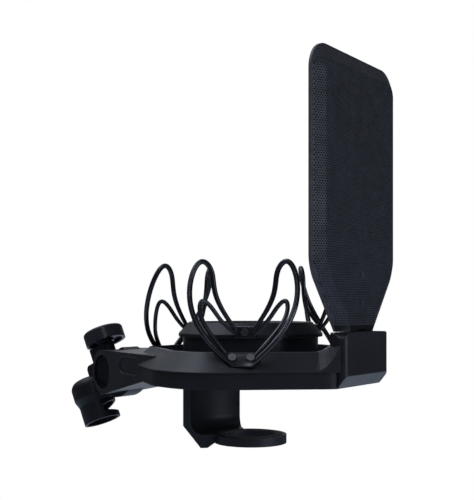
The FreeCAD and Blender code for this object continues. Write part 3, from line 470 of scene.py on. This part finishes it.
BORDER_PROUD = 0.07 * MM
# (inset from the outline, share of BORDER_PROUD). It starts a hair inside the stiff rim's side.
BORDER_PROFILE = (
    (0.06 * MM, 0.35), (0.2 * MM, 1.0), (0.5 * MM, 1.0), (0.8 * MM, 1.0), (0.9 * MM, 0.2)
)


def sheet_border():
    """The plain stamped edge of the sheet, all round, a hair proud of the perforated field."""
    line = shield_outline()
    foot_step = 1.5 * MM
    steps = int(2 * SHEET["low_half"] / foot_step)
    bottom = np.array([
        (SHEET["low_half"] * (1 - 2 * (i + 1) / steps), SHEET["low"]) for i in range(steps - 1)
    ])
    closed = np.vstack([line, bottom])
    count = len(closed)
    rings = []
    for inset, share in BORDER_PROFILE:
        points = []
        for i in range(count):
            before = closed[i] - closed[i - 1]
            after = closed[(i + 1) % count] - closed[i]
            n0 = np.array([before[1], -before[0]]) / np.linalg.norm(before)
            n1 = np.array([after[1], -after[0]]) / np.linalg.norm(after)
            points.append(closed[i] + (n0 + n1) * inset / (1 + float(n0 @ n1)))
        points = np.array(points)
        y = SHEET["front"] + sheet_depth(points, line)
        rings.append((points, y, share * BORDER_PROUD))
    loops = [
        np.column_stack([p[:, 0], y - out + BORDER_PROUD, p[:, 1]]) for p, y, out in rings
    ]
    loops += [
        np.column_stack([p[:, 0], y + SHEET["thick"] + out, p[:, 1]])
        for p, y, out in reversed(rings)
    ]
    total = len(loops)
    verts = np.vstack(loops).tolist()
    faces = []
    for r in range(total):
        low, high = r * count, ((r + 1) % total) * count
        for i in range(count):
            j = (i + 1) % count
            faces.append([low + i, high + i, high + j, low + j])
    mesh = bpy.data.meshes.new("shield_edge")
    mesh.from_pydata(verts, [], faces)
    mesh.validate()
    piece = bpy.data.objects.new("shield_edge", mesh)
    bpy.context.scene.collection.objects.link(piece)
    smooth(piece, 40)
    return piece


def smooth(piece, degrees):
    """Smooth shading, with edges sharper than this angle kept."""
    mesh = piece.data
    mesh.polygons.foreach_set("use_smooth", [True] * len(mesh.polygons))
    mesh.set_sharp_from_angle(angle=math.radians(degrees))


# ---- Lyre springs, in millimetres until their meshes are made ----
CLIP_OUT, CLIP_UP = 51.0, 41.0         # where the clip's middle stands on the ring's sloping face
CLIP_LEAN = math.radians(-33.0)
FOOT_OUT = 35.2                        # where the foot stands on the collar
LOOPS_HALF_W, LOOPS_LOW, LOOPS_H = 24.0, 36.6, 50.0
STRAND_SIDES, STRAND_SAMPLES = 16, 96
SWELL = 0.10                           # share of a strand over which it thickens at each end


def bspline(poles, samples):
    """Points along a clamped cubic B-spline, as a list of arrays."""
    poles = np.array(poles, float)
    count = len(poles)
    knots = np.concatenate([[0] * 3, np.linspace(0, 1, count - 2), [1] * 3])
    out = []
    for u in np.linspace(0, 1 - 1e-9, samples):
        k = int(np.searchsorted(knots, u, side="right")) - 1
        d = [poles[j + k - 3].copy() for j in range(4)]
        for r in range(1, 4):
            for j in range(3, r - 1, -1):
                i = j + k - 3
                share = (u - knots[i]) / (knots[i + 4 - r] - knots[i])
                d[j] = (1 - share) * d[j - 1] + share * d[j]
        out.append(d[3])
    return out


def loop_tube(poles, radius, start_r, end_r):
    """A round strand along the poles, with its own radius where it leaves the clip and the foot."""
    sides, samples = STRAND_SIDES, STRAND_SAMPLES
    path = bspline(poles, samples)
    tangents = [path[min(i + 1, samples - 1)] - path[max(i - 1, 0)] for i in range(samples)]
    tangents = [t / np.linalg.norm(t) for t in tangents]
    across = np.cross(tangents[0], [0.0, 1.0, 0.0])
    across /= np.linalg.norm(across)
    verts = []
    for i, (point, tangent) in enumerate(zip(path, tangents)):
        across = across - tangent * float(across @ tangent)
        across /= np.linalg.norm(across)
        other = np.cross(tangent, across)
        t = i / (samples - 1)
        r = radius + (start_r - radius) * math.exp(-(t / SWELL) ** 2)
        r += (end_r - radius) * math.exp(-((1 - t) / SWELL) ** 2)
        for s in range(sides):
            a = 2 * math.pi * s / sides
            verts.append(point + (across * math.cos(a) + other * math.sin(a)) * r)
    faces = []
    for i in range(samples - 1):
        for s in range(sides):
            a, b = i * sides + s, i * sides + (s + 1) % sides
            faces.append([a, b, b + sides, a + sides])
    faces.append(list(range(sides))[::-1])
    faces.append([(samples - 1) * sides + s for s in range(sides)])
    return verts, faces


def plate(outline, y_mid, thick, bevel):
    """A plate standing in XZ, with its front and back edges bevelled."""
    bm = bmesh.new()
    front = [bm.verts.new((x, y_mid - thick / 2, z)) for x, z in outline]
    face = bm.faces.new(front)
    moved = bmesh.ops.extrude_face_region(bm, geom=[face])
    bmesh.ops.translate(
        bm, vec=(0, thick, 0), verts=[g for g in moved["geom"] if isinstance(g, bmesh.types.BMVert)]
    )
    bmesh.ops.recalc_face_normals(bm, faces=bm.faces)
    bmesh.ops.bevel(bm, geom=list(bm.edges), offset=bevel, segments=3, affect="EDGES", profile=0.5)
    verts = [tuple(v.co) for v in bm.verts]
    bm.verts.index_update()
    faces = [[v.index for v in f.verts] for f in bm.faces]
    bm.free()
    return verts, faces


def leaned(x, y, z):
    """A point of the upright clip, leaned back onto the ring's sloping face."""
    c, s = math.cos(CLIP_LEAN), math.sin(CLIP_LEAN)
    dy, dz = y + CLIP_OUT, z - CLIP_UP
    return (x, -CLIP_OUT + dy * c - dz * s, CLIP_UP + dy * s + dz * c)


def clip_pole(across, up):
    """Control point (across, out, up) in the leaning clip's middle plane."""
    x, y, z = leaned(across, -CLIP_OUT, up)
    return (x, -y, z)


def lyre(name, degrees):
    """One double-loop spring: clip plate, two long and two short loops, foot plate."""
    clip_outline = [(-8, 42.6), (8, 42.6), (8, 40.2), (4.4, 36.6), (-4.4, 36.6), (-8, 40.2)]
    clip_verts, clip_faces = plate(clip_outline, -CLIP_OUT, thick=2.4, bevel=0.5)
    foot_outline = [(-4.6, 49.2), (4.6, 49.2), (4.6, 54.4), (-4.6, 54.4)]
    parts = [
        ([leaned(*v) for v in clip_verts], clip_faces),
        plate(foot_outline, -FOOT_OUT, thick=1.8, bevel=0.4),
    ]
    for poles, radius, start_r, end_r in LOOPS:
        for side in (-1, 1):
            line = [(side * a, -n, z) for a, n, z in poles]
            parts.append(loop_tube(line, radius, start_r, end_r))
    verts, faces = [], []
    for part_verts, part_faces in parts:
        base = len(verts)
        verts += [Vector(v) * MM for v in part_verts]
        faces += [[i + base for i in face] for face in part_faces]
    turn = Matrix.Rotation(math.radians(degrees), 4, "Z")
    mesh = bpy.data.meshes.new(f"{name}_loops")
    mesh.from_pydata([tuple(turn @ v) for v in verts], [], faces)
    mesh.validate()
    piece = bpy.data.objects.new(f"{name}_loops", mesh)
    bpy.context.scene.collection.objects.link(piece)
    bm = bmesh.new()
    bm.from_mesh(mesh)
    bmesh.ops.recalc_face_normals(bm, faces=bm.faces)
    bm.to_mesh(mesh)
    bm.free()
    smooth(piece, 35)
    mesh.materials.append(MATERIALS["lyre_plastic"])
    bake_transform(piece)
    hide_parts(name)


def scaled_loop(shares, start, end):
    """Control points (across, out, up), from shares of the lyre's width, reach and height."""
    middle = [
        (LOOPS_HALF_W * a, CLIP_OUT + (FOOT_OUT - CLIP_OUT) * n, LOOPS_LOW + LOOPS_H * z)
        for a, n, z in shares
    ]
    return [start] + middle + [end]


# The long and the short loop: control points, then the strand's radius, at the clip, at the foot.
LOOPS = [
    (
        scaled_loop(
            [
                (0.50, -0.06, 0.18), (0.76, 0.04, 0.32), (0.98, 0.33, 0.54), (0.99, 0.62, 0.79),
                (0.80, 0.85, 0.98), (0.56, 0.90, 0.85), (0.59, 0.90, 0.64), (0.36, 0.94, 0.45),
            ],
            clip_pole(5.1, 39.0),
            (3.4, FOOT_OUT, 52.0),
        ),
        1.2, 1.2, 1.0,
    ),
    (
        scaled_loop(
            [
                (0.42, 0.00, 0.21), (0.65, 0.26, 0.33), (0.82, 0.52, 0.48),
                (0.79, 0.66, 0.62), (0.57, 0.80, 0.52), (0.40, 0.90, 0.37),
            ],
            clip_pole(3.9, 39.6),
            (3.6, FOOT_OUT, 50.7),
        ),
        1.0, 1.1, 0.9,
    ),
]
for lyre_name, lyre_degrees in (("lyre_left", -60), ("lyre_right", 60), ("lyre_rear", 180)):
    lyre(lyre_name, lyre_degrees)

RIVETS = [(0.0, 65.0 * MM), (0.0, 77.5 * MM)]
for sheet_piece in (perforated_sheet(RIVETS), sheet_border()):
    sheet_piece.data.materials.append(MATERIALS["shield_metal"])
    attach(sheet_piece, "shield")
    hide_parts("shield_mesh")


# ---- Stage ----
VIEW_TURN = math.radians(-55.0)
TOWARDS_VIEW = Vector((math.sin(VIEW_TURN), -math.cos(VIEW_TURN), 0))
FLOOR_DROP, FLOOR_R = 0.25, 0.9
LAMP_AIM = Vector((0, 0, 0.06))


def white_floor():
    """A round white floor well below the part, which hangs in the air on its stand."""
    place = (0, 0, CAD_BOX[0][2] - FLOOR_DROP)
    bpy.ops.mesh.primitive_circle_add(
        vertices=96, radius=FLOOR_R, fill_type="NGON", location=place
    )
    floor = bpy.context.object
    floor.name = "floor"
    m = Nodes("floor")
    m.shader.inputs["Roughness"].default_value = 0.9
    m.shader.inputs["Specular IOR Level"].default_value = 0.0
    path = m.add("ShaderNodeLightPath")
    seen = m.ramp(m.noise(1.5), [(0.3, (0.95, 0.95, 0.95)), (0.7, (0.97, 0.97, 0.97))])
    bounce = (0.72, 0.83, 1.0)  # slightly blue on the part's underside
    m.link(m.mix(path.outputs["Is Camera Ray"], bounce, seen), m.shader.inputs["Base Color"])
    lift = m.add("ShaderNodeMath", operation="MULTIPLY")
    lift.inputs[1].default_value = 0.4
    m.link(path.outputs["Is Camera Ray"], lift.inputs[0])
    m.link(lift.outputs[0], m.shader.inputs["Emission Strength"])
    m.shader.inputs["Emission Color"].default_value = (1, 1, 1, 1)
    floor.data.materials.append(m.material)


def studio_world():
    """A dark room with a pale sweep behind the part and a pale ceiling, seen in its gloss.

    Matt surfaces get one plain level from all round, and the camera sees plain white.
    """
    sweep_level, ceiling_level, room_level, matt_level = 0.28, 0.9, 0.05, 0.55
    glossy_tint = (0.84, 0.90, 1.0, 1)
    world = bpy.data.worlds.new("studio")
    bpy.context.scene.world = world
    world.use_nodes = True
    tree = world.node_tree

    def add(kind, **values):
        node = tree.nodes.new(kind)
        for key, value in values.items():
            setattr(node, key, value)
        return node

    def along(direction, start, end, most):
        """Brightness that rises towards a direction, between two cosines of the angle to it."""
        dot = add("ShaderNodeVectorMath", operation="DOT_PRODUCT")
        dot.inputs[1].default_value = direction
        tree.links.new(coords.outputs["Generated"], dot.inputs[0])
        rise = add("ShaderNodeMapRange", interpolation_type="SMOOTHSTEP")
        limits = {"From Min": start, "From Max": end, "To Min": 0.0, "To Max": most}
        for name, value in limits.items():
            rise.inputs[name].default_value = value
        tree.links.new(dot.outputs["Value"], rise.inputs["Value"])
        return rise.outputs["Result"]

    def switch(flag, off, on):
        """One value where the ray's flag is off, and another where it is on."""
        mix = add("ShaderNodeMix", data_type="FLOAT")
        tree.links.new(flag, mix.inputs[MIX_FACTOR])
        tree.links.new(off, mix.inputs[MIX_FLOAT_A])
        mix.inputs[MIX_FLOAT_B].default_value = on
        return mix.outputs[MIX_FLOAT_OUT]

    coords = add("ShaderNodeTexCoord")
    room = add("ShaderNodeMath", operation="ADD")
    sweep = (Vector((0, 0, 0.2)) - TOWARDS_VIEW).normalized()
    ceiling = Vector((-0.10, 0.45, 0.89))
    tree.links.new(along(sweep, 0.75, 0.98, sweep_level), room.inputs[0])
    tree.links.new(along(ceiling, 0.55, 0.97, ceiling_level), room.inputs[1])
    dim = add("ShaderNodeMath", operation="ADD")
    tree.links.new(room.outputs[0], dim.inputs[0])
    dim.inputs[1].default_value = room_level
    path = add("ShaderNodeLightPath")
    matt = switch(path.outputs["Is Diffuse Ray"], dim.outputs[0], matt_level)
    seen = switch(path.outputs["Is Camera Ray"], matt, 1.0)
    tree.links.new(seen, tree.nodes["Background"].inputs["Strength"])
    tint = add("ShaderNodeMix", data_type="RGBA")
    tree.links.new(path.outputs["Is Glossy Ray"], tint.inputs[MIX_FACTOR])
    tint.inputs[MIX_COLOUR_A].default_value = (1, 1, 1, 1)
    tint.inputs[MIX_COLOUR_B].default_value = glossy_tint
    tree.links.new(tint.outputs[MIX_COLOUR_OUT], tree.nodes["Background"].inputs["Color"])


def area_light(name, place, size, power):
    """A soft box of this (width, height) in metres and power in watts, that faces the object."""
    data = bpy.data.lights.new(name, "AREA")
    data.shape = "RECTANGLE"
    data.size, data.size_y = size
    data.energy = power
    lamp = bpy.data.objects.new(name, data)
    bpy.context.scene.collection.objects.link(lamp)
    lamp.location = place
    lamp.rotation_euler = (LAMP_AIM - Vector(place)).to_track_quat("-Z", "Y").to_euler()


def camera():
    """The photograph's view: level, from the left front, with the lens shifted to frame it."""
    data = bpy.data.cameras.new("camera")
    data.lens = 64.8
    data.sensor_width = 36.0
    data.shift_y = 0.11
    data.clip_start = 0.01
    view = bpy.data.objects.new("camera", data)
    bpy.context.scene.collection.objects.link(view)
    right = Vector((math.cos(VIEW_TURN), math.sin(VIEW_TURN), 0))
    distance, left, height = 0.433, 0.0065, 0.06385
    view.location = TOWARDS_VIEW * distance - right * left + Vector((0, 0, height))
    view.rotation_euler = (-TOWARDS_VIEW).to_track_quat("-Z", "Y").to_euler()
    bpy.context.scene.camera = view


white_floor()
studio_world()
area_light("key", (-0.25, 0.40, 0.85), (0.5, 0.5), 2.6)
area_light("fill", (0.05, -0.90, 0.20), (0.5, 0.5), 3.2)
area_light("strip", (-0.70, -0.49, 0.60), (0.06, 0.30), 0.85)
area_light("back", (0.55, 0.55, 0.60), (0.5, 0.5), 1.2)
camera()

bpy.context.scene.view_settings.view_transform = "Standard"
